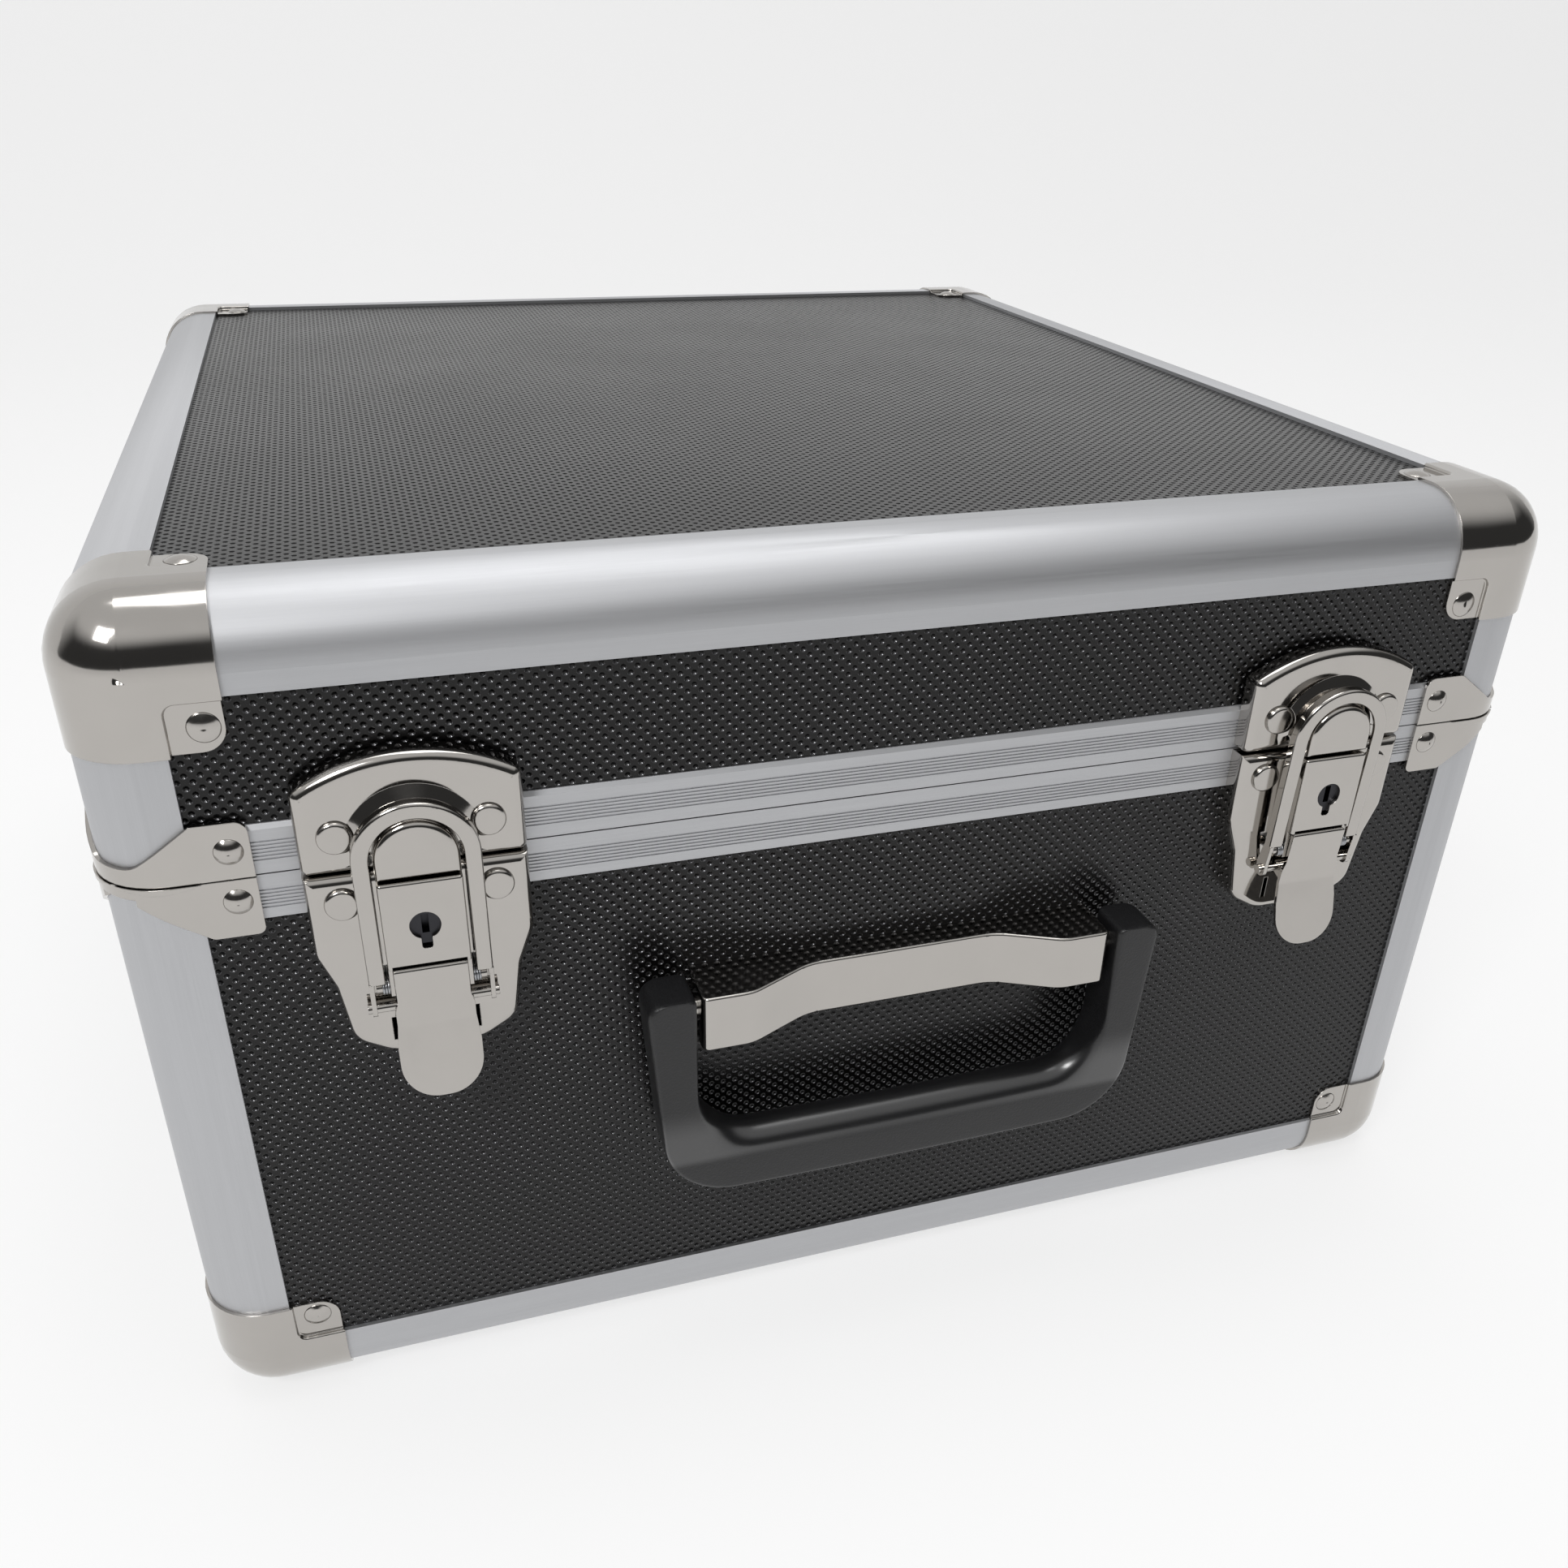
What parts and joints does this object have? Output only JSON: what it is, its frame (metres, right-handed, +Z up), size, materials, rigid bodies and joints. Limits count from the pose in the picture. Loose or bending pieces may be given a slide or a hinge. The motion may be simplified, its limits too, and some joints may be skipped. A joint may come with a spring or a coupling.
{
  "type": "accordion case",
  "caption": "Boxy hard case with aluminium edge rails, corner caps, draw latches, a carrying handle and a lid hinged at the rear.",
  "frame": {"origin": "bottom centre of the whole object's box, on the surface that the case stands on", "axes": "+X to the right seen from the front, front with latches and handle at -Y, +Z up"},
  "size_m": [0.4658, 0.509, 0.283],
  "materials": {
    "black_grip": "black moulded grip, satin with a glossy inner bar",
    "chrome_plate": "bright plated pressed steel",
    "embossed_skin": "black moulded skin with fine oval dimples",
    "plush_lining": "short pile black plush over foam",
    "plywood": "plain poplar plywood, seen only at cut edges",
    "satin_aluminium": "satin anodised extrusion",
    "zinc_steel": "zinc plated steel"
  },
  "bodies": {
    "base": {"base_bottom_board": "plywood", "base_corner_caps": "chrome_plate", "base_corner_clamps": "chrome_plate", "base_corner_posts": "satin_aluminium", "base_floor_pad": "plush_lining", "base_front_board": "plywood", "base_front_bottom_rail": "satin_aluminium", "base_front_closing_rail": "satin_aluminium", "base_left_board": "plywood", "base_rear_board": "plywood", "base_rear_bottom_rail": "satin_aluminium", "base_rear_closing_rail": "satin_aluminium", "base_right_board": "plywood", "base_rivets": "chrome_plate", "base_side_bottom_rails": "satin_aluminium", "base_side_closing_rails": "satin_aluminium", "base_skins": "embossed_skin", "base_wall_lining": "plush_lining", "handle_backing_plate": "zinc_steel", "handle_cover": "chrome_plate", "handle_pivot_pins": "chrome_plate", "hinge_base_leaves": "zinc_steel", "hinge_pins": "zinc_steel", "latch_base_plate_left": "chrome_plate", "latch_base_plate_right": "chrome_plate", "latch_fulcrum_pins": "chrome_plate", "latch_springs": "zinc_steel", "lock_bodies": "zinc_steel", "lock_housing_left": "chrome_plate", "lock_housing_right": "chrome_plate"},
    "lid": {"hinge_lid_leaves": "zinc_steel", "latch_strike_left": "chrome_plate", "latch_strike_right": "chrome_plate", "lid_corner_caps": "chrome_plate", "lid_corner_clamps": "chrome_plate", "lid_corner_posts": "satin_aluminium", "lid_front_board": "plywood", "lid_front_closing_rail": "satin_aluminium", "lid_front_top_rail": "satin_aluminium", "lid_left_board": "plywood", "lid_rear_board": "plywood", "lid_rear_closing_rail": "satin_aluminium", "lid_rear_top_rail": "satin_aluminium", "lid_right_board": "plywood", "lid_rivets": "chrome_plate", "lid_side_closing_rails": "satin_aluminium", "lid_side_top_rails": "satin_aluminium", "lid_skins": "embossed_skin", "lid_top_board": "plywood", "lid_top_pad": "plush_lining", "lid_wall_lining": "plush_lining"},
    "left_lever": {"latch_lever_left": "chrome_plate", "bail_pin_left": "chrome_plate"},
    "right_lever": {"latch_lever_right": "chrome_plate", "bail_pin_right": "chrome_plate"},
    "left_bail": {"latch_bail_left": "chrome_plate"},
    "right_bail": {"latch_bail_right": "chrome_plate"},
    "left_lock_plug": {"lock_plug_left": "zinc_steel"},
    "right_lock_plug": {"lock_plug_right": "zinc_steel"},
    "handle": {"handle_grip": "black_grip"}
  },
  "joints": [
    {"name": "lid_hinge", "type": "hinge", "parent": "base", "child": "lid", "pos_m": [0, 0.2475, 0.204], "axis": [-1, 0, 0], "range_deg": [0, 95]},
    {"name": "left_lever_swing", "type": "hinge", "parent": "base", "child": "left_lever", "pos_m": [-0.147, -0.2451, 0.1685], "axis": [-1, 0, 0], "range_deg": [0, 120]},
    {"name": "left_bail_turn", "type": "hinge", "parent": "left_lever", "child": "left_bail", "pos_m": [-0.147, -0.244, 0.1609], "axis": [-1, 0, 0], "range_deg": [-150, 0]},
    {"name": "left_lock_turn", "type": "hinge", "parent": "base", "child": "left_lock_plug", "pos_m": [-0.147, -0.2479, 0.1894], "axis": [0, -1, 0], "range_deg": [0, 90]},
    {"name": "right_lever_swing", "type": "hinge", "parent": "base", "child": "right_lever", "pos_m": [0.147, -0.2451, 0.1685], "axis": [-1, 0, 0], "range_deg": [0, 120]},
    {"name": "right_bail_turn", "type": "hinge", "parent": "right_lever", "child": "right_bail", "pos_m": [0.147, -0.244, 0.1609], "axis": [-1, 0, 0], "range_deg": [-150, 0]},
    {"name": "right_lock_turn", "type": "hinge", "parent": "base", "child": "right_lock_plug", "pos_m": [0.147, -0.2479, 0.1894], "axis": [0, -1, 0], "range_deg": [0, 90]},
    {"name": "handle_swing", "type": "hinge", "parent": "base", "child": "handle", "pos_m": [0, -0.245, 0.1435], "axis": [-1, 0, 0], "range_deg": [0, 100]}
  ],
  "couplings": [
    {"joint": "left_bail_turn", "follows": "left_lever_swing", "ratio": -1.25},
    {"joint": "right_bail_turn", "follows": "right_lever_swing", "ratio": -1.25}
  ]
}
